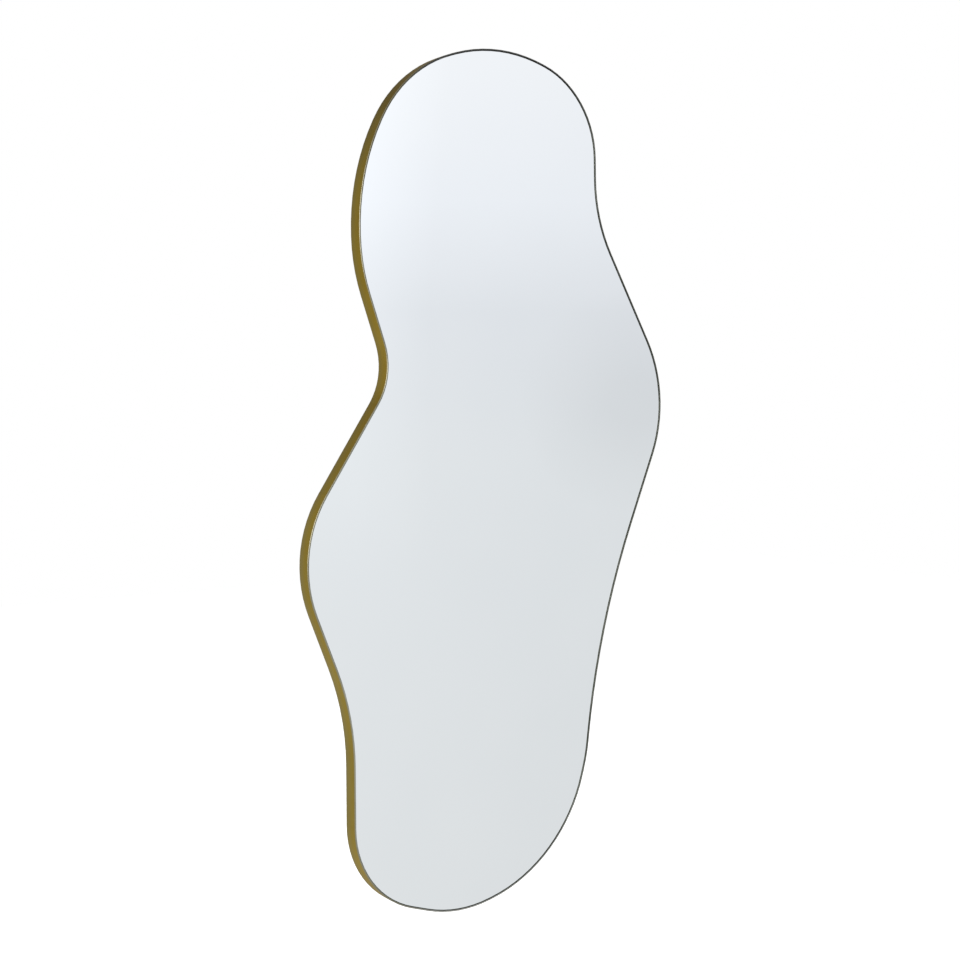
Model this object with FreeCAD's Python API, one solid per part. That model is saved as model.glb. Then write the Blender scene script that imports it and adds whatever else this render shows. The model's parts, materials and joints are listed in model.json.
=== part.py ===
import FreeCAD, Part

import math
import os

from FreeCAD import Vector

# Irregular wall mirror: a pebble-shaped glass in a bent metal band, with the board, lugs and
# hangers that hold it from behind.
# Millimetres. +X is to the right and +Z is up as seen from the front, and the glass faces -Y.
# The wall is the plane y = 0. The origin lies on it, midway between the two wall hooks that
# carry the raised rings, straight above the point where the mirror balances.

# ---- outline -------------------------------------------------------------------------------
WIDTH = 600.0
HEIGHT = 1200.0

# The corners of the rim's outer edge, anticlockwise from the top left as seen from the front:
# how far right of and above the middle of a drawing DRAWN_WIDTH by DRAWN_HEIGHT each one is, and
# the radius that rounds it. The rounded corners are joined by short straight stretches.
DRAWN_WIDTH = 600.0
DRAWN_HEIGHT = 1200.0
OUTLINE_CORNERS = [
    (-151, 560, 191),
    (-223, 414, 322),
    (-219, 292, 257),
    (-169, 149, 92),
    (-321, -84, 175),
    (-232, -306, 365),
    (-231, -552, 131),
    (-66, -607, 188),
    (119, -563, 219),
    (162, -407, 228),
    (183, -221, 1197),
    (321, 122, 197),
    (175, 379, 223),
    (171, 560, 131),
    (4, 612, 237),
]
# The least straight stretch between two roundings.
LEAST_STRAIGHT = 1.0

# ---- rim -----------------------------------------------------------------------------------
RIM_DEPTH = 23.0
RIM_THICKNESS = 2.0
RIM_BEVEL = 0.6

# ---- what lies inside the rim, from the front ----------------------------------------------
GLASS_RECESS = 1.5
GLASS_THICKNESS = 4.0
GLASS_ARRIS = 0.5
SHEET_GAP = 0.4
TAPE_THICKNESS = 1.5
TAPE_WIDTH = 25.0
TAPE_COUNT = 5
TAPE_SPACING = 65.0
TAPE_END_MARGIN = 160.0
BOARD_THICKNESS = 9.0

# ---- lugs welded to the rim, and the screws that hold the board ----------------------------
LUG_COUNT = 6
LUG_WIDTH = 22.0
LUG_REACH = 19.0
LUG_THICKNESS = 2.0
LUG_CORNER_CUT = 5.0
LUG_HOLE_REACH = 11.0
SCREW_DIAMETER = 4.0
SCREW_HEAD_DIAMETER = 7.6
SCREW_HEAD_HEIGHT = 2.2
SCREW_TIP_COVER = 1.5
SCREW_HOLE_CLEARANCE = 0.25
PILOT_CLEARANCE = 0.02
PILOT_EXTRA_DEPTH = 0.5

# ---- hangers -------------------------------------------------------------------------------
HOOK_SPACING = 240.0
HOOK_LINE_BELOW_TOP = 250.0
WIRE_DIAMETER = 3.0
RING_INNER_WIDTH = 20.0
RING_INNER_HEIGHT = 16.0
RING_CORNER_CUT = 2.5
# The bow is bent in an odd number of straight stretches, so that it ends in a level one.
BOW_STRETCHES = 5
RING_RUNNING_CLEARANCE = 0.1
RING_REST_GAP = 0.3
STRAP_THICKNESS = 1.2
STRAP_WIDTH = 16.0
STRAP_TAIL = 9.0
HANGER_SCREW_SPACING = 12.0
HANGER_SCREW_CLEARANCE = 2.0

# ---- bumpers that keep the rim off the wall ------------------------------------------------
BUMPER_DIAMETER = 14.0
BUMPER_PROUD = 1.5
BUMPER_SPACING = 160.0
BUMPER_BELOW_TOP = 75.0
BUMPER_ABOVE_BOTTOM = 120.0

# ---- places worked out from the sizes above ------------------------------------------------
Y_RIM_BACK = -BUMPER_PROUD
Y_RIM_FRONT = Y_RIM_BACK - RIM_DEPTH
Y_GLASS_FRONT = Y_RIM_FRONT + GLASS_RECESS
Y_GLASS_BACK = Y_GLASS_FRONT + GLASS_THICKNESS
Y_BOARD_FRONT = Y_GLASS_BACK + TAPE_THICKNESS
Y_BOARD_BACK = Y_BOARD_FRONT + BOARD_THICKNESS
Y_LUG_BACK = Y_BOARD_BACK + LUG_THICKNESS

SHEET_INSET = RIM_THICKNESS + SHEET_GAP
SCREW_BITE = BOARD_THICKNESS - SCREW_TIP_COVER
WIRE_RADIUS = WIRE_DIAMETER / 2
SCREW_RADIUS = SCREW_DIAMETER / 2
SCREW_HEAD_RADIUS = SCREW_HEAD_DIAMETER / 2

Z_TOP = HEIGHT / 2
Z_HOOKS = Z_TOP - HOOK_LINE_BELOW_TOP
# The ring's eye, along its plane from the middle of its straight bar to the middle of its bow.
RING_REACH = RING_INNER_HEIGHT + WIRE_DIAMETER
BARREL_RADIUS = WIRE_RADIUS + RING_RUNNING_CLEARANCE
Y_RING_AXIS = Y_BOARD_BACK + STRAP_THICKNESS + BARREL_RADIUS
# A hook holds the raised ring under the inside of its bow.
Z_RING_AXIS = Z_HOOKS - RING_REACH + WIRE_RADIUS

# How close to a line counts as on it, and the steps along the rim from one lug to the next,
# which are fine enough to give the rim's direction at the lug.
TOUCHING = 0.01
LUG_STEPS = 40


# ---- small helpers -------------------------------------------------------------------------
def cylinder(x, z, y_from, y_to, radius):
    """A round bar that runs along Y."""
    return Part.makeCylinder(radius, y_to - y_from, Vector(x, y_from, z), Vector(0, 1, 0))


def box(x_middle, x_size, y_from, y_to, z_from, z_to):
    corner = Vector(x_middle - x_size / 2, y_from, z_from)
    return Part.makeBox(x_size, y_to - y_from, z_to - z_from, corner)


# ---- the outline and the sheets cut to it --------------------------------------------------
def inward(along):
    """The direction into the mirror, at a stretch of its edge that runs along the one given."""
    return Vector(-along.z, 0, along.x)


def corner_roundings():
    """The rounding of each corner, as (centre, start, middle, end, side).

    side is 1 where the outline swells outwards and -1 where it is hollow. A rounding that its
    two stretches are too short for gets a smaller radius.
    """
    across = WIDTH / DRAWN_WIDTH
    upward = HEIGHT / DRAWN_HEIGHT
    count = len(OUTLINE_CORNERS)
    corners = [Vector(x * across, 0, z * upward) for x, z, _ in OUTLINE_CORNERS]
    radii = [radius * math.sqrt(across * upward) for _, _, radius in OUTLINE_CORNERS]
    after = [corners[(index + 1) % count] - corners[index] for index in range(count)]
    lengths = [stretch.Length for stretch in after]
    along = [stretch.normalize() for stretch in after]
    turns = [along[index - 1].getAngle(along[index]) for index in range(count)]
    used = [radius * math.tan(turn / 2) for radius, turn in zip(radii, turns)]
    room = [min(1, (lengths[index] - LEAST_STRAIGHT) / (used[index] + used[(index + 1) % count]))
            for index in range(count)]

    roundings = []
    for index, corner in enumerate(corners):
        fit = min(room[index - 1], room[index])
        side = 1 if inward(along[index - 1]).dot(along[index]) > 0 else -1
        start = corner - along[index - 1] * used[index] * fit
        end = corner + along[index] * used[index] * fit
        centre = start + inward(along[index - 1]) * radii[index] * fit * side
        middle = centre + (corner - centre).normalize() * radii[index] * fit
        roundings.append((centre, start, middle, end, side))
    return roundings


def outline(inset):
    """The closed wire that runs a given distance inside the rim's outer edge."""
    arcs = []
    for centre, start, middle, end, side in corner_roundings():
        radius = (start - centre).Length
        share = (radius - side * inset) / radius
        arcs.append([centre + (point - centre) * share for point in (start, middle, end)])
    edges = []
    for arc, following in zip(arcs, arcs[1:] + arcs[:1]):
        edges.append(Part.Arc(*arc).toShape())
        edges.append(Part.makeLine(arc[-1], following[0]))
    return Part.Wire(edges)


def sheet(inset, y_from, y_to):
    """A flat sheet with the mirror's outline."""
    face = Part.Face(outline(inset))
    face.translate(Vector(0, y_from, 0))
    return face.extrude(Vector(0, y_to - y_from, 0))


def bevelled_sheet(inset, bevel, y_front, y_back):
    """A flat sheet with the mirror's outline and a small bevel round its front face."""
    stations = [(inset + bevel, y_front), (inset, y_front + bevel), (inset, y_back)]
    wires = []
    for edge, y in stations:
        wire = outline(edge)
        wire.translate(Vector(0, y, 0))
        wires.append(wire)
    return Part.makeLoft(wires, True, True)


def balance_x():
    """Where the mirror balances, across its width: the middle of its area."""
    return Part.Face(outline(0)).CenterOfMass.x


# ---- the pieces ----------------------------------------------------------------------------
def rim_band():
    """The metal strip, bent to the outline and standing on edge."""
    outside = bevelled_sheet(0, RIM_BEVEL, Y_RIM_FRONT, Y_RIM_BACK)
    return outside.cut(sheet(RIM_THICKNESS, Y_RIM_FRONT, Y_RIM_BACK))


def mirror_glass():
    return bevelled_sheet(SHEET_INSET, GLASS_ARRIS, Y_GLASS_FRONT, Y_GLASS_BACK)


def tape_columns():
    """The middles of the tape strips, across the width."""
    first = balance_x() - TAPE_SPACING * (TAPE_COUNT - 1) / 2
    return [first + TAPE_SPACING * index for index in range(TAPE_COUNT)]


def tape_strip(x):
    """Double-sided foam tape between the glass and the board."""
    end = Z_TOP - TAPE_END_MARGIN
    strip = box(x, TAPE_WIDTH, Y_GLASS_BACK, Y_BOARD_FRONT, -end, end)
    return strip.common(sheet(SHEET_INSET + GLASS_ARRIS, Y_GLASS_BACK, Y_BOARD_FRONT))


def backing_board(screw_places):
    board = sheet(SHEET_INSET, Y_BOARD_FRONT, Y_BOARD_BACK)
    depth = SCREW_BITE + PILOT_EXTRA_DEPTH
    radius = SCREW_RADIUS + PILOT_CLEARANCE
    holes = [cylinder(x, z, Y_BOARD_BACK - depth, Y_BOARD_BACK, radius) for x, z in screw_places]
    return board.cut(Part.makeCompound(holes))


def lug_places():
    """Where each lug meets the rim, evenly spaced along it, as (point, direction outwards)."""
    wire = outline(RIM_THICKNESS)
    points = wire.discretize(Number=LUG_COUNT * LUG_STEPS + 1)
    places = []
    for index in range(LUG_STEPS // 2, len(points), LUG_STEPS):
        along = (points[index + 1] - points[index - 1]).normalize()
        places.append((points[index], Vector(along.z, 0, -along.x)))
    return places


def lug_hole(point, outward):
    centre = point - outward * LUG_HOLE_REACH
    return centre.x, centre.z


def mounting_lug(point, outward):
    """A tab welded to the inside of the rim, trimmed to the rim's curve, with one screw hole."""
    tab = box(0, LUG_WIDTH, Y_BOARD_BACK, Y_LUG_BACK, -LUG_REACH, RIM_THICKNESS)
    corners = [edge for edge in tab.Edges
               if edge.BoundBox.ZMax < TOUCHING - LUG_REACH and edge.BoundBox.XLength < TOUCHING]
    tab = tab.makeChamfer(LUG_CORNER_CUT, corners)
    hole_radius = SCREW_RADIUS + SCREW_HOLE_CLEARANCE
    tab = tab.cut(cylinder(0, -LUG_HOLE_REACH, Y_BOARD_BACK, Y_LUG_BACK, hole_radius))
    angle = math.degrees(math.atan2(outward.x, outward.z))
    tab.rotate(Vector(0, 0, 0), Vector(0, 1, 0), angle)
    tab.translate(point)
    return tab.common(sheet(RIM_THICKNESS, Y_BOARD_BACK, Y_LUG_BACK))


def screw(x, z, y_seat):
    """A pan-head wood screw whose head sits on y_seat and whose end is in the board."""
    shank = cylinder(x, z, Y_BOARD_BACK - SCREW_BITE, y_seat, SCREW_RADIUS)
    head = cylinder(x, z, y_seat, y_seat + SCREW_HEAD_HEIGHT, SCREW_HEAD_RADIUS)
    return shank.fuse(head)


def hanger_screw_places(x):
    """The two screws of a hanger, below the ring where it hangs down."""
    ring_end = RING_REACH + WIRE_RADIUS
    first = Z_RING_AXIS - ring_end - HANGER_SCREW_CLEARANCE - SCREW_HEAD_RADIUS
    return [(x, first), (x, first - HANGER_SCREW_SPACING)]


def strap_profile():
    """The folded strap from the side, as (height off the board, height above the ring's axis).

    The strip lies on the board, goes round the ring's bar in a barrel, bends back the other way
    and runs down on itself. Both bends have the same radius along the middle of the strip.
    """
    inner = BARREL_RADIUS
    outer = BARREL_RADIUS + STRAP_THICKNESS
    barrel_x = outer
    top_face = 2 * STRAP_THICKNESS
    bend_x = top_face + inner
    between = inner + outer
    bend_y = -math.sqrt(between ** 2 - (bend_x - barrel_x) ** 2)
    toward_bend = math.atan2(bend_y, bend_x - barrel_x)

    def on_barrel(radius, angle):
        return Vector(barrel_x + radius * math.cos(angle), radius * math.sin(angle), 0)

    def on_bend(radius, angle):
        return Vector(bend_x + radius * math.cos(angle), bend_y + radius * math.sin(angle), 0)

    half_turn = math.pi
    back_bend = toward_bend + math.pi
    bend_middle = (half_turn + back_bend) / 2
    return {
        "outer": [
            (on_barrel(outer, half_turn), on_barrel(outer, half_turn / 2),
             on_barrel(outer, toward_bend)),
            (on_bend(inner, back_bend), on_bend(inner, bend_middle), on_bend(inner, half_turn)),
        ],
        "inner": [
            (on_barrel(inner, half_turn), on_barrel(inner, half_turn / 2),
             on_barrel(inner, toward_bend)),
            (on_bend(outer, back_bend), on_bend(outer, bend_middle), on_bend(outer, half_turn)),
        ],
        "top_face": top_face,
    }


def hanger_strap(x):
    """A strap folded round the bar of its ring and screwed flat to the board."""
    profile = strap_profile()
    screws = hanger_screw_places(x)
    bottom = screws[-1][1] - STRAP_TAIL - Z_RING_AXIS
    foot_back = Vector(profile["top_face"], bottom, 0)
    foot_front = Vector(0, bottom, 0)
    outer = [Part.Arc(*arc).toShape() for arc in profile["outer"]]
    outer.append(Part.makeLine(profile["outer"][1][2], foot_back))
    outer.append(Part.makeLine(foot_back, foot_front))
    outer.append(Part.makeLine(foot_front, profile["outer"][0][0]))
    inner = [Part.Arc(*arc).toShape() for arc in profile["inner"]]
    inner.append(Part.makeLine(profile["inner"][1][2], profile["inner"][0][0]))
    side = Part.Face(Part.Wire(outer)).cut(Part.Face(Part.Wire(inner)))
    strap = side.extrude(Vector(0, 0, STRAP_WIDTH))
    # Stand the side view up: its first axis becomes Y and its second becomes Z.
    strap.rotate(Vector(0, 0, 0), Vector(1, 1, 1), 120)
    strap.translate(Vector(x - STRAP_WIDTH / 2, Y_BOARD_BACK, Z_RING_AXIS))
    # The lower end is cut to a half round.
    end_z = Z_RING_AXIS + bottom + STRAP_WIDTH / 2
    back = Y_BOARD_BACK + profile["top_face"]
    end = box(x, STRAP_WIDTH, Y_BOARD_BACK, back, end_z - STRAP_WIDTH / 2, end_z)
    end = end.cut(cylinder(x, end_z, Y_BOARD_BACK, back, STRAP_WIDTH / 2))
    strap = strap.cut(end)
    hole_radius = SCREW_RADIUS + SCREW_HOLE_CLEARANCE
    for hole_x, hole_z in screws:
        strap = strap.cut(cylinder(hole_x, hole_z, Y_BOARD_BACK, back, hole_radius))
    return strap


def hanger_ring(x):
    """A D-shaped wire ring, bent in short straight stretches.

    At rest it hangs down, with its bow just off the strap.
    """
    half = RING_INNER_WIDTH / 2 + WIRE_RADIUS
    bow_z = half * math.cos(math.pi / 2 / BOW_STRETCHES) - RING_REACH
    corners = [
        Vector(-half, 0, -RING_CORNER_CUT),
        Vector(RING_CORNER_CUT - half, 0, 0),
        Vector(half - RING_CORNER_CUT, 0, 0),
        Vector(half, 0, -RING_CORNER_CUT),
    ]
    for step in range(BOW_STRETCHES + 1):
        angle = math.pi * step / BOW_STRETCHES
        corners.append(Vector(half * math.cos(angle), 0, bow_z - half * math.sin(angle)))
    # The wire starts and ends in the middle of the left side.
    start = Vector(-half, 0, (bow_z - RING_CORNER_CUT) / 2)
    path = Part.makePolygon([start] + corners + [start])
    section = Part.Wire(Part.makeCircle(WIRE_RADIUS, start, Vector(0, 0, 1)))
    mitred = 1
    ring = path.makePipeShell([section], True, False, mitred)
    ring.rotate(Vector(0, 0, 0), Vector(1, 0, 0), ring_rest_angle())
    ring.translate(Vector(x, Y_RING_AXIS, Z_RING_AXIS))
    return ring


def ring_rest_angle():
    """How far the hanging ring stands off the upright, in degrees, so that its bow clears the strap."""
    bow_y = Y_BOARD_BACK + 2 * STRAP_THICKNESS + RING_REST_GAP + WIRE_RADIUS
    return math.degrees(math.asin((bow_y - Y_RING_AXIS) / RING_REACH))


def wall_bumpers():
    """Clear rubber bumpers, stuck to the board, that stand a little behind the rim."""
    ends = outline(0).BoundBox
    bumpers = []
    for z in (ends.ZMax - BUMPER_BELOW_TOP, ends.ZMin + BUMPER_ABOVE_BOTTOM):
        for side in (-1, 1):
            x = balance_x() + side * BUMPER_SPACING / 2
            bumpers.append(cylinder(x, z, Y_BOARD_BACK, 0, BUMPER_DIAMETER / 2))
    return Part.makeCompound(bumpers)


# ---- the whole mirror ----------------------------------------------------------------------
def build():
    pieces = {
        "rim_band": rim_band(),
        "mirror_glass": mirror_glass(),
    }
    for index, x in enumerate(tape_columns(), start=1):
        pieces[f"tape_strip_{index}"] = tape_strip(x)

    lugs = lug_places()
    for index, (point, outward) in enumerate(lugs, start=1):
        pieces[f"mounting_lug_{index:02d}"] = mounting_lug(point, outward)
    board_holes = [lug_hole(point, outward) for point, outward in lugs]
    pieces["board_screws"] = Part.makeCompound([screw(x, z, Y_LUG_BACK) for x, z in board_holes])

    strap_back = Y_BOARD_BACK + 2 * STRAP_THICKNESS
    hanger_holes = []
    for name, side in (("left", -1), ("right", 1)):
        x = balance_x() + side * HOOK_SPACING / 2
        holes = hanger_screw_places(x)
        hanger_holes += holes
        pieces[f"hanger_strap_{name}"] = hanger_strap(x)
        pieces[f"hanger_ring_{name}"] = hanger_ring(x)
    screws = [screw(hole_x, hole_z, strap_back) for hole_x, hole_z in hanger_holes]
    pieces["hanger_screws"] = Part.makeCompound(screws)

    pieces["backing_board"] = backing_board(board_holes + hanger_holes)
    pieces["wall_bumpers"] = wall_bumpers()
    return pieces


def save(pieces):
    """Write every piece, moved so that the origin is midway between the two wall hooks."""
    os.makedirs("parts", exist_ok=True)
    to_origin = Vector(-balance_x(), 0, -Z_HOOKS)
    for name, shape in pieces.items():
        shape.translate(to_origin)
        shape.exportStep(f"parts/{name}.step")


save(build())
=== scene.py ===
import json
import math

import bmesh
import bpy
from mathutils import Matrix, Vector

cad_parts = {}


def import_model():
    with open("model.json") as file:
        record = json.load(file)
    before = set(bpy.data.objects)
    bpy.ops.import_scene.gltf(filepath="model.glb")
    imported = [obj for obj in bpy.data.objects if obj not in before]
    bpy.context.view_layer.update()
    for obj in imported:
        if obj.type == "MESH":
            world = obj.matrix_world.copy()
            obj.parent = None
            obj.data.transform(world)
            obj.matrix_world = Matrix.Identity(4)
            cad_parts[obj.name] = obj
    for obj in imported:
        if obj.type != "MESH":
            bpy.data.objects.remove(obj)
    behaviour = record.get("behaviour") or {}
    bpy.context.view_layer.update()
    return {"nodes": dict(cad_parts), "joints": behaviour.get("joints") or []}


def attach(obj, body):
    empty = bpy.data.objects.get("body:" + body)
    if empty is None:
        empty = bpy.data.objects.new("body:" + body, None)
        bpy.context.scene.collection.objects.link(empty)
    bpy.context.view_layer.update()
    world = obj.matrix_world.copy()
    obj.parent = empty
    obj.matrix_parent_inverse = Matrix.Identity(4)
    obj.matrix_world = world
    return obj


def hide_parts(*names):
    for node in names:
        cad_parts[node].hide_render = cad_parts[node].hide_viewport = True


# The looks of the irregular wall mirror. Metres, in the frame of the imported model: +X is right and
# +Z is up as seen from the front, the glass faces -Y, and the wall is the plane y = 0.

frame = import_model()

BODY = "mirror"
MM = 0.001

# ---- camera ----
# Sensor width and focal length are in millimetres, which is how Blender takes them.
SENSOR_WIDTH = 36.0
LENS = 56.37
CAMERA_PLACE = Vector((-1.1888, -1.7598, -0.2296))
# The camera looks this far to the right of straight at the wall, and this far down.
LOOK_RIGHT = math.radians(33.945)
LOOK_DOWN = math.radians(3.175)

# ---- stage ----
WHITE = (1, 1, 1, 1)
FLOOR_BELOW_HOOKS = 1.45
FLOOR_SIZE = 14.0
FLOOR_COLOUR = (0.9, 0.9, 0.9, 1.0)
# Light added to the floor where the camera sees it, so that it looks white.
FLOOR_LIFT = 0.34
# The strength of the even light from all round.
PLAIN_LIGHT = 0.75
# What the lamps point at.
MIRROR_MIDDLE = Vector((0, 0, -0.35))
# A direction, seen from the mirror, in which the room that it reflects is darker.
DARKER_PLACE = (0.639, -0.769, -0.003)

# ---- places on the mirror ----
RIM_BOTTOM = -0.95
RIM_TOP = 0.25
# The ends of an upright line, x = 0, that stays well inside the rim.
MIDDLE_BOTTOM = -0.75
MIDDLE_TOP = 0.1

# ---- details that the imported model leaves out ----
RING_HALF_WIDTH = 11.5 * MM
RING_REACH = 19.0 * MM
RING_CORNER = 3.0 * MM
RING_WIRE_RADIUS = 1.5 * MM
RING_REST_ANGLE = math.radians(4.226)
RING_CORNER_STEPS = 8
RING_BOW_STEPS = 32

SCREW_HEAD_RADIUS = 3.8 * MM
SCREW_HEAD_HEIGHT = 2.2 * MM
SCREW_HEAD_EDGE = 0.9 * MM
SCREW_SHANK_RADIUS = 2.0 * MM
SCREW_ROUND_STEPS = 40
# Each screw of a group is turned this much more than the one before it.
SCREW_TURN = math.radians(37)
RECESS_LENGTH = 4.4 * MM
RECESS_WIDTH = 0.9 * MM
RECESS_DEPTH = 1.3 * MM
# The size of the recess at its floor, as a share of its size above the head.
RECESS_FLOOR = 0.6

BUMPER_ROUNDING = 1.4 * MM
BUMPER_TAPER = 1.0 * MM
BUMPER_ROUND_STEPS = 48

BEAD_RADIUS = 0.9 * MM
BEAD_STEP = 0.7 * MM
BEAD_RIPPLE = 0.18
BEAD_END = 0.6

# The steps in a rounded edge, and round half of a wire.
EDGE_STEPS = 6
WIRE_STEPS = 6
# Edges sharper than this are not smoothed over.
SHARP_ANGLE = math.radians(35)
# A lug's corner this close to the rim is on its root.
TOUCHING = 0.4 * MM
# Places no further apart than this are the same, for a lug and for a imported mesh.
SAME_DEPTH = MM / 100
SAME_POINT = 1e-6

# The sockets of a colour mix go by number: its other kinds use the same names.
MIX_SHARE, MIX_FIRST, MIX_SECOND, MIX_RESULT = 0, 6, 7, 2


# ---- shader nodes ----
class Shader:
    """A node tree with its main shader, if it has one, and a short way to add nodes to it."""

    def __init__(self, tree, main=None):
        self.tree = tree
        self.main = main

    def node(self, kind, settings=(), **inputs):
        """Add a node. Inputs are values or the output sockets of other nodes."""
        made = self.tree.nodes.new(kind)
        for name, value in dict(settings).items():
            setattr(made, name, value)
        for name, value in inputs.items():
            self.feed(made, name.replace("_", " "), value)
        return made

    def feed(self, made, name, value):
        """Set an input by its name."""
        socket = made.inputs[name]
        if isinstance(value, bpy.types.NodeSocket):
            self.tree.links.new(value, socket)
        else:
            socket.default_value = value

    def feed_at(self, made, index, value):
        """Set an input by its number. Three numbers are a colour."""
        if isinstance(value, bpy.types.NodeSocket):
            self.tree.links.new(value, made.inputs[index])
        elif isinstance(value, tuple) and len(value) == 3:
            made.inputs[index].default_value = (*value, 1.0)
        else:
            made.inputs[index].default_value = value

    def connect(self, **inputs):
        """Set inputs of the main shader."""
        for name, value in inputs.items():
            self.feed(self.main, name.replace("_", " "), value)

    def place(self, stretch=(1, 1, 1)):
        """Where a point is on the object, stretched along each axis."""
        where = self.node("ShaderNodeTexCoord").outputs["Object"]
        return self.node("ShaderNodeMapping", Vector=where, Scale=stretch).outputs["Vector"]

    def parts(self, vector):
        """The X, Y and Z of a vector."""
        return self.node("ShaderNodeSeparateXYZ", Vector=vector).outputs

    def facing(self):
        """The X, Y and Z of the direction in which the surface faces."""
        return self.parts(self.node("ShaderNodeNewGeometry").outputs["Normal"])

    def noise(self, scale, stretch=(1, 1, 1), detail=3.0, roughness=0.5):
        made = self.node("ShaderNodeTexNoise", Vector=self.place(stretch), Scale=scale,
                         Detail=detail, Roughness=roughness)
        return made.outputs["Fac"]

    def ramp(self, value, stops):
        """Turn a value into a colour, through (position, colour) stops."""
        made = self.node("ShaderNodeValToRGB", Fac=value)
        elements = made.color_ramp.elements
        while len(elements) < len(stops):
            elements.new(0.5)
        for element, (position, colour) in zip(elements, stops):
            element.position = position
            element.color = (*colour, 1.0)
        return made.outputs["Color"]

    def spread(self, value, low, high, from_low=0.3, from_high=0.7):
        """Spread a value over a range. It comes from 0.3 to 0.7 unless told, as noise does."""
        names = {"From_Min": from_low, "From_Max": from_high, "To_Min": low, "To_Max": high}
        return self.node("ShaderNodeMapRange", Value=value, **names).outputs["Result"]

    def below(self, value, full, none):
        """1 for a value under the first limit, fading to 0 at the second."""
        return self.spread(value, 1.0, 0.0, from_low=full, from_high=none)

    def above(self, value, none, full):
        """0 for a value under the first limit, rising to 1 at the second."""
        return self.spread(value, 0.0, 1.0, from_low=none, from_high=full)

    def mix(self, share, first, second):
        """Two colours mixed: the first at a share of 0, the second at 1."""
        made = self.node("ShaderNodeMix", {"data_type": "RGBA"})
        self.feed_at(made, MIX_SHARE, share)
        self.feed_at(made, MIX_FIRST, first)
        self.feed_at(made, MIX_SECOND, second)
        return made.outputs[MIX_RESULT]

    def blend(self, share, first, second):
        """Two shaders mixed: the first at a share of 0, the second at 1."""
        made = self.node("ShaderNodeMixShader")
        for index, value in enumerate((share, first, second)):
            self.feed_at(made, index, value)
        return made.outputs[0]

    def maths(self, operation, *values):
        made = self.node("ShaderNodeMath", {"operation": operation})
        for index, value in enumerate(values):
            self.feed_at(made, index, value)
        return made.outputs[0]

    def scaled(self, colour, level):
        """A colour made brighter or darker."""
        made = self.node("ShaderNodeVectorMath", {"operation": "SCALE"})
        self.feed_at(made, 0, colour)
        self.feed(made, "Scale", level)
        return made.outputs[0]

    def tinted(self, colour, tint):
        """A colour multiplied by another."""
        made = self.node("ShaderNodeVectorMath", {"operation": "MULTIPLY"})
        self.feed_at(made, 0, colour)
        self.feed_at(made, 1, tint)
        return made.outputs[0]

    def bump(self, height, distance, strength=1.0):
        made = self.node("ShaderNodeBump", Height=height, Distance=distance, Strength=strength)
        return made.outputs["Normal"]


def material(name, **sockets):
    """A new material with the given numbers on its main shader, and a Shader to add to it."""
    made = bpy.data.materials.new(name)
    made.use_nodes = True
    main = made.node_tree.nodes["Principled BSDF"]
    for socket, value in sockets.items():
        main.inputs[socket.replace("_", " ")].default_value = value
    return made, Shader(made.node_tree, main)


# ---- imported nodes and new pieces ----
def dress(names, look):
    """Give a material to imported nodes."""
    for name in names:
        for slot in frame["nodes"][name].material_slots:
            slot.material = look


def piece(name, data, look, body=BODY):
    """A new object that rides on a body and takes the given look as its finish."""
    made = bpy.data.objects.new(name, data)
    bpy.context.scene.collection.objects.link(made)
    made.data.materials.append(look)
    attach(made, body)
    return made


def nodes_named(start):
    return sorted(name for name in frame["nodes"] if name.startswith(start))


# ---- materials ----
def side_patina_and_painted_light(shader, where, height):
    """The outer side: brass under a thin patina, duller towards the wall, and painted light and
    shade:
    a tint that changes slowly up the mirror in place of the room's light."""
    patina = shader.noise(9.0, detail=5.0, roughness=0.6)
    warm = shader.ramp(patina, [(0.30, (0.205, 0.140, 0.016)), (0.52, (0.228, 0.160, 0.022)),
                                (0.72, (0.255, 0.186, 0.034))])
    rear = shader.spread(where["Y"], 0.0, 0.7, from_low=-15 * MM, from_high=-3 * MM)
    side = shader.mix(rear, warm, (0.170, 0.145, 0.050))
    # Painted light and shade: this tint by height stands in for how the room lights the side.
    tint = shader.ramp(height, [(0.40, (1.00, 1.06, 1.55)), (0.50, (1.12, 1.16, 1.50)),
                                (0.64, (1.00, 0.97, 1.00)), (0.77, (0.93, 0.93, 0.95)),
                                (0.88, (0.80, 0.82, 1.05))])
    return shader.tinted(side, tint)


def corner_painted_light(shader, facing):
    """The front corner, with painted light and shade: a painted highlight where it faces left or
    down, and painted shade elsewhere.
    """
    leftward = shader.below(facing["X"], -0.45, 0.05)
    downward = shader.below(facing["Z"], -0.65, -0.45)
    return shader.mix(shader.maths("MAXIMUM", leftward, downward), (0.025, 0.026, 0.021),
                      (0.250, 0.232, 0.165))


def edge_painted_light(shader, where, height):
    """The flat of the front edge, with painted light and shade: pale to the left of the mirror and
    along its bottom as a painted reflection of the room, and darker elsewhere.
    """
    right = shader.ramp(height, [(0.08, (0.360, 0.360, 0.340)), (0.14, (0.090, 0.092, 0.078)),
                                 (0.28, (0.045, 0.050, 0.034)), (0.50, (0.062, 0.066, 0.050)),
                                 (0.75, (0.088, 0.090, 0.083)), (1.0, (0.070, 0.071, 0.068))])
    left = shader.ramp(height, [(0.05, (0.260, 0.250, 0.190)), (0.20, (0.420, 0.400, 0.310)),
                                (0.40, (0.280, 0.260, 0.190)), (0.64, (0.270, 0.260, 0.200)),
                                (0.88, (0.130, 0.115, 0.070))])
    return shader.mix(shader.below(where["X"], -0.16, -0.10), right, left)


def inside_painted_light(shader, facing):
    """The inside of the strip, with painted light and shade: pale where it faces left or up, and
    dark elsewhere.
    """
    leftward = shader.below(facing["X"], -0.85, -0.45)
    upward = shader.above(facing["Z"], 0.5, 0.75)
    return shader.mix(shader.maths("MAXIMUM", leftward, upward), (0.035, 0.036, 0.032),
                      (0.220, 0.220, 0.190))


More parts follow.
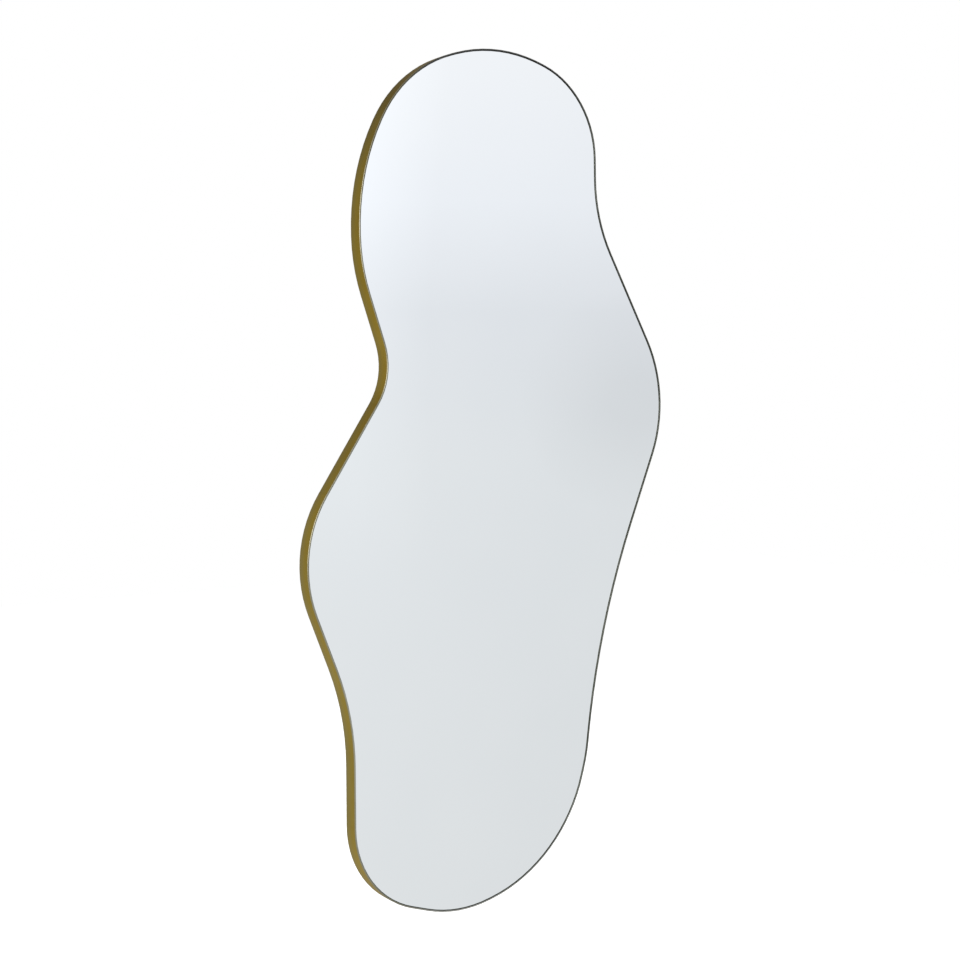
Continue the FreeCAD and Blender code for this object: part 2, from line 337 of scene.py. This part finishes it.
def faces_inward(shader, where, facing):
    """1 where the strip faces the upright line down the middle of the mirror, 0 elsewhere."""
    level = shader.node("ShaderNodeClamp", Value=where["Z"], Min=MIDDLE_BOTTOM, Max=MIDDLE_TOP)
    rise = shader.maths("SUBTRACT", where["Z"], level.outputs[0])
    outward = shader.maths("ADD", shader.maths("MULTIPLY", where["X"], facing["X"]),
                           shader.maths("MULTIPLY", rise, facing["Z"]))
    return shader.below(outward, -0.01, -0.002)


def antique_brass():
    """Brushed brass with painted light and shade on its front corner, the flat of its front edge,
    its inside and up its side. The brushing runs along the strip.
    """
    look, shader = material("antique_brass", Metallic=1.0, Specular_Tint=(1.0, 0.86, 0.6, 1.0))
    where = shader.parts(shader.place())
    facing = shader.facing()
    height = shader.above(where["Z"], RIM_BOTTOM, RIM_TOP)
    on_corner = shader.below(facing["Y"], -0.55, -0.25)
    on_edge = shader.below(facing["Y"], -0.95, -0.85)
    # The corner, the flat of the front edge and the inside get painted light and shade in place of
    # the room's light.
    tone = shader.mix(on_corner, side_patina_and_painted_light(shader, where, height), corner_painted_light(shader, facing))
    tone = shader.mix(on_edge, tone, edge_painted_light(shader, where, height))
    tone = shader.mix(faces_inward(shader, where, facing), tone, inside_painted_light(shader, facing))

    brushing = shader.noise(1.0, stretch=(14.0, 1700.0, 14.0), detail=4.0, roughness=0.65)
    shader.connect(Base_Color=shader.scaled(tone, shader.spread(brushing, 0.82, 1.12)),
                   Roughness=shader.spread(brushing, 0.30, 0.46),
                   Normal=shader.bump(brushing, 0.00006))
    return look


def silvered_glass():
    """Mirror glass: clear and bright on its face, greenish and ground on its bevelled edge."""
    look, shader = material("silvered_glass", Metallic=1.0)
    edge = shader.above(shader.facing()["Y"], -0.98, -0.9)
    haze = shader.noise(5.0, detail=2.0)
    face = shader.ramp(haze, [(0.3, (0.912, 0.926, 0.945)), (0.7, (0.926, 0.938, 0.955))])
    polish = shader.spread(haze, 0.004, 0.012)
    ground = 0.35
    shader.connect(Base_Color=shader.mix(edge, face, (0.42, 0.56, 0.50)),
                   Roughness=shader.maths("MULTIPLY_ADD", edge, ground, polish))
    return look


def painted_board():
    """Fibreboard under a thin coat of black paint, with the fibres just showing."""
    look, shader = material("painted_board")
    fibres = shader.noise(900.0, detail=4.0, roughness=0.7)
    blotches = shader.noise(14.0, detail=3.0)
    tone = shader.ramp(blotches, [(0.3, (0.018, 0.018, 0.019)), (0.7, (0.030, 0.029, 0.028))])
    shader.connect(Base_Color=tone, Roughness=shader.spread(fibres, 0.52, 0.72),
                   Normal=shader.bump(fibres, 0.00012, 0.6))
    return look


def plated_steel(name, stretch):
    """Nickel-plated steel with the fine lines that rolling or drawing leaves."""
    look, shader = material(name, Metallic=1.0)
    lines = shader.noise(1.0, stretch=stretch, detail=4.0, roughness=0.6)
    spots = shader.noise(160.0, detail=3.0)
    tone = shader.ramp(spots, [(0.3, (0.50, 0.49, 0.47)), (0.7, (0.66, 0.65, 0.62))])
    shader.connect(Base_Color=tone, Roughness=shader.spread(lines, 0.22, 0.36),
                   Normal=shader.bump(lines, 0.00003))
    return look


def foam_tape():
    """Matt white foam with fine cells."""
    look, shader = material("foam_tape", Roughness=0.9)
    made = shader.node("ShaderNodeTexVoronoi", Vector=shader.place(), Scale=1400.0)
    cells = made.outputs["Distance"]
    tone = shader.ramp(cells, [(0.0, (0.62, 0.62, 0.60)), (0.8, (0.80, 0.80, 0.78))])
    shader.connect(Base_Color=tone, Normal=shader.bump(cells, 0.0002))
    return look


def clear_rubber():
    """Milky clear rubber with a little dust on it."""
    look, shader = material("clear_rubber", Transmission_Weight=0.55, IOR=1.45)
    dust = shader.noise(700.0, detail=4.0)
    tone = shader.ramp(dust, [(0.35, (0.80, 0.81, 0.80)), (0.75, (0.68, 0.68, 0.66))])
    shader.connect(Base_Color=tone, Roughness=shader.spread(dust, 0.28, 0.45))
    return look


def weld_bead():
    """Brass-coloured like the rim, but rougher and darker where the heat was."""
    look, shader = material("weld_bead", Metallic=1.0)
    grain = shader.noise(1200.0, detail=4.0)
    tone = shader.ramp(grain, [(0.3, (0.13, 0.095, 0.04)), (0.7, (0.22, 0.165, 0.07))])
    shader.connect(Base_Color=tone, Roughness=shader.spread(grain, 0.42, 0.62),
                   Normal=shader.bump(grain, 0.0001))
    return look


# ---- shapes ----
def as_mesh(shape, name):
    """A mesh of an edited shape, which is used up."""
    made = bpy.data.meshes.new(name)
    shape.to_mesh(made)
    shape.free()
    return made


def quarter_turn():
    """The angles of a rounded edge, from 0 to 90 degrees."""
    return [math.pi / 2 * step / EDGE_STEPS for step in range(EDGE_STEPS + 1)]


def lathe(profile, steps):
    """A closed mesh turned about the Y axis from (radius, y) points that start and end on it."""
    shape = bmesh.new()
    rings = []
    for radius, y in profile:
        if radius == 0:
            rings.append([shape.verts.new((0, y, 0))])
            continue
        turns = [2 * math.pi * step / steps for step in range(steps)]
        rings.append([shape.verts.new((radius * math.cos(turn), y, radius * math.sin(turn)))
                      for turn in turns])
    for lower, upper in zip(rings, rings[1:]):
        for step in range(steps):
            after = (step + 1) % steps
            corners = [lower[step % len(lower)], lower[after % len(lower)],
                       upper[after % len(upper)], upper[step % len(upper)]]
            corners = [corner for index, corner in enumerate(corners)
                       if corner not in corners[:index]]
            shape.faces.new(corners)
    bmesh.ops.recalc_face_normals(shape, faces=shape.faces)
    return as_mesh(shape, "turned")


def cut(body, cutter):
    """The first mesh with the second one taken away from it."""
    solid = bpy.data.objects.new("solid", body)
    tool = bpy.data.objects.new("tool", cutter)
    for item in (solid, tool):
        bpy.context.scene.collection.objects.link(item)
    taking = solid.modifiers.new("cut", "BOOLEAN")
    taking.object = tool
    taking.solver = "EXACT"
    result = bpy.data.meshes.new_from_object(
        solid.evaluated_get(bpy.context.evaluated_depsgraph_get()))
    for item in (solid, tool):
        bpy.data.objects.remove(item)
    return result


def islands(node):
    """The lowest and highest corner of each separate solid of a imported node."""
    shape = bmesh.new()
    shape.from_mesh(frame["nodes"][node].data)
    bmesh.ops.remove_doubles(shape, verts=shape.verts, dist=SAME_POINT)
    left = set(shape.verts)
    boxes = []
    while left:
        # The list grows while it is gone through, until the whole solid is in it.
        found = [left.pop()]
        for vertex in found:
            for edge in vertex.link_edges:
                other = edge.other_vert(vertex)
                if other in left:
                    left.discard(other)
                    found.append(other)
        low = Vector([min(vertex.co[axis] for vertex in found) for axis in range(3)])
        high = Vector([max(vertex.co[axis] for vertex in found) for axis in range(3)])
        boxes.append((low, high))
    shape.free()
    return sorted(boxes, key=lambda box: (round(box[0].z, 4), round(box[0].x, 4)))


def middle(low, high, y):
    """The middle of a box as seen from behind, at a given y."""
    return Vector(((low.x + high.x) / 2, y, (low.z + high.z) / 2))


def gathered(name, mesh, places):
    """One mesh with a copy of another at each place."""
    shape = bmesh.new()
    for place in places:
        before = len(shape.verts)
        shape.from_mesh(mesh)
        shape.verts.ensure_lookup_table()
        bmesh.ops.transform(shape, matrix=place, verts=shape.verts[before:])
    made = as_mesh(shape, name)
    made.shade_smooth()
    made.set_sharp_from_angle(angle=SHARP_ANGLE)
    return made


def tube(name, points, radius, closed, radii=None):
    """A round bar along a line of points. Radii, if given, are shares of the radius."""
    curve = bpy.data.curves.new(name, "CURVE")
    curve.dimensions = "3D"
    curve.bevel_depth = radius
    curve.bevel_resolution = WIRE_STEPS
    curve.use_fill_caps = not closed
    line = curve.splines.new("POLY")
    line.points.add(len(points) - 1)
    for index, (spot, point) in enumerate(zip(line.points, points)):
        spot.co = (*point, 1)
        spot.radius = radii[index] if radii else 1.0
    line.use_cyclic_u = closed
    return curve


# ---- screws and bumpers ----
def recess():
    """The cross-shaped hole in a screw's head, narrower towards its floor. It reaches as far above
    the head as into it, so that it cuts cleanly."""
    arm = RECESS_LENGTH / 2
    half = RECESS_WIDTH / 2
    quarter = [(half, arm), (half, half), (arm, half)]
    corners = []
    for _ in range(4):
        corners += quarter
        quarter = [(z, -x) for x, z in quarter]
    shape = bmesh.new()
    rows = []
    for y, share in ((SCREW_HEAD_HEIGHT - RECESS_DEPTH, RECESS_FLOOR),
                     (SCREW_HEAD_HEIGHT + RECESS_DEPTH, 1.0)):
        rows.append([shape.verts.new((x * share, y, z * share)) for x, z in corners])
    bottom, top = rows
    shape.faces.new(bottom)
    shape.faces.new(top)
    for index in range(len(corners)):
        shape.faces.new([bottom[index - 1], bottom[index], top[index], top[index - 1]])
    bmesh.ops.recalc_face_normals(shape, faces=shape.faces)
    return as_mesh(shape, "recess")


def screw_mesh(grip):
    """A pan-head screw on the Y axis with its seat at y = 0 and its end at -grip."""
    profile = [(0, -grip), (SCREW_SHANK_RADIUS, -grip), (SCREW_SHANK_RADIUS, 0),
               (SCREW_HEAD_RADIUS, 0), (SCREW_HEAD_RADIUS, SCREW_HEAD_EDGE)]
    rise = SCREW_HEAD_HEIGHT - SCREW_HEAD_EDGE
    for angle in quarter_turn()[1:-1]:
        profile.append((SCREW_HEAD_RADIUS * math.cos(angle),
                        SCREW_HEAD_EDGE + rise * math.sin(angle)))
    profile.append((0, SCREW_HEAD_HEIGHT))
    return cut(lathe(profile, SCREW_ROUND_STEPS), recess())


def screws(node, name, look):
    """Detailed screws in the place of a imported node's plain ones, which are all of one length."""
    places = []
    for index, (low, high) in enumerate(islands(node)):
        seat = high.y - SCREW_HEAD_HEIGHT
        grip = seat - low.y
        places.append(Matrix.Translation(middle(low, high, seat))
                      @ Matrix.Rotation(index * SCREW_TURN, 4, "Y"))
    made = piece(name, gathered(name, screw_mesh(grip), places), look)
    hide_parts(node)


def bumpers(look):
    """Bumpers with a rounded face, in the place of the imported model's plain ones, which are all of
    one size."""
    places = []
    for low, high in islands("wall_bumpers"):
        places.append(Matrix.Translation(middle(low, high, 0)))
        radius = (high.x - low.x) / 2
        base, face = low.y, high.y
    profile = [(0, base), (radius, base)]
    flat = radius - BUMPER_TAPER - BUMPER_ROUNDING
    for angle in quarter_turn():
        profile.append((flat + BUMPER_ROUNDING * math.cos(angle),
                        face - BUMPER_ROUNDING * (1 - math.sin(angle))))
    profile.append((0, face))
    shape = gathered("rubber_bumpers", lathe(profile, BUMPER_ROUND_STEPS), places)
    made = piece("rubber_bumpers", shape, look)
    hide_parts("wall_bumpers")


# ---- rings ----
def ring_line():
    """The middle of a hanging ring's wire, round from the right end of its straight bar."""
    half = RING_HALF_WIDTH
    bow = half - RING_REACH
    inner = half - RING_CORNER
    turns = [math.pi / 2 * (1 - step / RING_CORNER_STEPS) for step in range(RING_CORNER_STEPS + 1)]
    right = [(inner + RING_CORNER * math.cos(turn), RING_CORNER * (math.sin(turn) - 1))
             for turn in turns]
    turns = [math.pi * step / RING_BOW_STEPS for step in range(RING_BOW_STEPS + 1)]
    bottom = [(half * math.cos(turn), bow - half * math.sin(turn)) for turn in turns]
    left = [(-x, z) for x, z in reversed(right)]
    return right + bottom + left


def rings(look):
    """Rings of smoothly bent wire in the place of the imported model's straight stretches."""
    for joint in frame["joints"]:
        axis = Vector(joint["pos_m"])
        hang = Matrix.Translation(axis) @ Matrix.Rotation(RING_REST_ANGLE, 4, "X")
        points = [hang @ Vector((x, 0, z)) for x, z in ring_line()]
        side = joint["child"].replace("ring_", "")
        name = f"wire_ring_{side}"
        shape = tube(name, points, RING_WIRE_RADIUS, True)
        made = piece(name, shape, look, joint["child"])
        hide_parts(f"hanger_ring_{side}")


# ---- weld beads ----
def lug_root(lug):
    """The corners of a lug's rear face that touch the rim."""
    rim = frame["nodes"]["rim_band"]
    corners = frame["nodes"][lug].data.vertices
    back = max(vertex.co.y for vertex in corners)
    root = []
    for vertex in corners:
        if back - vertex.co.y < SAME_DEPTH:
            found, nearest, _, _ = rim.closest_point_on_mesh(vertex.co)
            if found and (nearest - vertex.co).length < TOUCHING:
                root.append(vertex.co.copy())
    return root


def bead_line(lug):
    """Where a lug's rear face meets the rim, as evenly spaced points."""
    root = lug_root(lug)
    ends = max(((a, b) for a in root for b in root), key=lambda pair: (pair[0] - pair[1]).length)
    along = (ends[1] - ends[0]).normalized()
    root.sort(key=lambda point: (point - ends[0]).dot(along))
    length = (ends[1] - ends[0]).length
    count = int(length / BEAD_STEP)
    line = []
    for step in range(1, count):
        reach = length * step / count
        for before, after in zip(root, root[1:]):
            start = (before - ends[0]).dot(along)
            end = (after - ends[0]).dot(along)
            if start <= reach <= end and end > start:
                line.append(before.lerp(after, (reach - start) / (end - start)))
                break
    return line


def weld_beads(look):
    """A rippled bead of weld along the root of each lug."""
    for lug in nodes_named("mounting_lug"):
        line = bead_line(lug)
        radii = [1 - BEAD_RIPPLE * (index % 2) for index in range(len(line))]
        radii[0] = radii[-1] = BEAD_END
        name = lug.replace("mounting_lug", "weld_bead")
        piece(name, tube(name, line, BEAD_RADIUS, False, radii), look)


# ---- stage, light and camera ----
def floor():
    """A plain pale floor that looks white where no shadow falls on it. What shines reflects the
    room as if the floor weren't there."""
    half = FLOOR_SIZE / 2
    made = bpy.data.meshes.new("floor")
    made.from_pydata([(-half, -half, 0), (half, -half, 0), (half, half, 0), (-half, half, 0)],
                     [], [(0, 1, 2, 3)])
    ground = bpy.data.objects.new("floor", made)
    ground.location.z = -FLOOR_BELOW_HOOKS
    bpy.context.scene.collection.objects.link(ground)
    look = bpy.data.materials.new("floor")
    look.use_nodes = True
    shader = Shader(look.node_tree)
    shader.tree.nodes.remove(shader.tree.nodes["Principled BSDF"])
    ray = shader.node("ShaderNodeLightPath").outputs
    matte = shader.node("ShaderNodeBsdfDiffuse", Color=FLOOR_COLOUR).outputs[0]
    lift = shader.maths("MULTIPLY", ray["Is Camera Ray"], FLOOR_LIFT)
    white = shader.node("ShaderNodeEmission", Color=WHITE, Strength=lift).outputs[0]
    lit = shader.node("ShaderNodeAddShader")
    shader.feed_at(lit, 0, matte)
    shader.feed_at(lit, 1, white)
    clear = shader.node("ShaderNodeBsdfTransparent").outputs[0]
    seen = shader.blend(ray["Is Glossy Ray"], lit.outputs[0], clear)
    output = shader.tree.nodes["Material Output"]
    shader.tree.links.new(seen, output.inputs["Surface"])
    made.materials.append(look)


def room_before(shader, towards, apart):
    """The room before the mirror: bright overhead and greyer below eye level, a little brighter to
    the left, and with a soft darker place to the right."""
    height = shader.above(apart["Z"], -0.4, 0.4)
    tone = shader.ramp(height, [(0.0, (0.745, 0.765, 0.765)), (0.45, (0.790, 0.815, 0.825)),
                                (0.57, (0.790, 0.815, 0.840)), (0.66, (0.890, 0.915, 0.945)),
                                (0.80, (0.950, 0.965, 0.980))])
    sideways = shader.spread(apart["X"], 1.045, 0.975, from_low=0.47, from_high=0.65)
    away = shader.node("ShaderNodeVectorMath", {"operation": "DISTANCE"})
    shader.feed_at(away, 0, towards)
    away.inputs[1].default_value = DARKER_PLACE
    patch = shader.spread(away.outputs["Value"], 0.93, 1.0, from_low=0.015, from_high=0.075)
    glow = shader.spread(apart["X"], 0.09, 0.0, from_low=0.485, from_high=0.53)
    high = shader.above(apart["Z"], -0.15, 0.05)
    level = shader.maths("MULTIPLY_ADD", glow, high, shader.maths("MULTIPLY", sideways, patch))
    return shader.scaled(tone, level)


def room_behind(shader, apart):
    """The room behind the mirror: darker overhead and to the right, and bright below."""
    height = shader.above(apart["Z"], -0.6, 0.6)
    tone = shader.ramp(height, [(0.0, (1.10, 1.12, 1.12)), (0.5, (0.90, 0.91, 0.90)),
                                (0.75, (0.92, 0.93, 0.93)), (0.85, (0.72, 0.72, 0.72)),
                                (1.0, (0.40, 0.40, 0.40))])
    sideways = shader.spread(apart["X"], 1.05, 0.60, from_low=-0.3, from_high=0.25)
    return shader.scaled(tone, sideways)


def room(shader):
    """The pale room that shining surfaces reflect, as a colour for each direction."""
    towards = shader.node("ShaderNodeTexCoord").outputs["Generated"]
    apart = shader.parts(towards)
    behind = shader.above(apart["Y"], -0.45, -0.15)
    return shader.mix(behind, room_before(shader, towards, apart), room_behind(shader, apart))


def world():
    """White behind the object, plain light on it, and a pale room for what shines to reflect."""
    sky = bpy.data.worlds.new("studio")
    sky.use_nodes = True
    bpy.context.scene.world = sky
    shader = Shader(sky.node_tree)
    shader.tree.nodes.clear()
    ray = shader.node("ShaderNodeLightPath").outputs
    plain = shader.node("ShaderNodeBackground", Color=WHITE, Strength=PLAIN_LIGHT).outputs[0]
    shown = shader.node("ShaderNodeBackground", Color=WHITE, Strength=1.0).outputs[0]
    reflected = shader.node("ShaderNodeBackground", Color=room(shader), Strength=1.0).outputs[0]
    light = shader.blend(ray["Is Glossy Ray"], plain, reflected)
    direct = shader.maths("MAXIMUM", ray["Is Camera Ray"], ray["Is Transmission Ray"])
    final = shader.blend(direct, light, shown)
    output = shader.node("ShaderNodeOutputWorld")
    shader.tree.links.new(final, output.inputs["Surface"])


def lamp(name, place, size, power, reflected):
    """A soft square lamp that points at the middle of the mirror. What shines shows it only if it
    is reflected."""
    light = bpy.data.lights.new(name, "AREA")
    light.size = size
    light.energy = power
    made = bpy.data.objects.new(name, light)
    made.location = place
    made.visible_glossy = reflected
    aim = MIRROR_MIDDLE - made.location
    made.rotation_euler = aim.to_track_quat("-Z", "Y").to_euler()
    bpy.context.scene.collection.objects.link(made)


def camera():
    """The photograph's camera."""
    lens = bpy.data.cameras.new("camera")
    lens.sensor_width = SENSOR_WIDTH
    lens.lens = LENS
    made = bpy.data.objects.new("camera", lens)
    made.location = CAMERA_PLACE
    level = math.cos(LOOK_DOWN)
    look = Vector((math.sin(LOOK_RIGHT) * level, math.cos(LOOK_RIGHT) * level,
                   -math.sin(LOOK_DOWN)))
    made.rotation_euler = look.to_track_quat("-Z", "Y").to_euler()
    bpy.context.scene.collection.objects.link(made)
    bpy.context.scene.camera = made


# ---- the whole scene ----
brass = antique_brass()
strip_steel = plated_steel("plated_steel", (900.0, 30.0, 60.0))
wire_steel = plated_steel("plated_wire", (60.0, 900.0, 900.0))
dress(["rim_band"] + nodes_named("mounting_lug"), brass)
dress(["mirror_glass"], silvered_glass())
dress(["backing_board"], painted_board())
dress(nodes_named("tape_strip"), foam_tape())
dress(nodes_named("hanger_strap"), strip_steel)

screws("board_screws", "lug_screws", strip_steel)
screws("hanger_screws", "strap_screws", strip_steel)
bumpers(clear_rubber())
rings(wire_steel)
weld_beads(weld_bead())

floor()
world()
lamp("key", (-3.0, -2.0, 0.4), size=2.2, power=60.0, reflected=True)
lamp("rear", (1.8, 2.6, 1.4), size=2.0, power=40.0, reflected=False)
camera()
bpy.context.scene.view_settings.view_transform = "Standard"
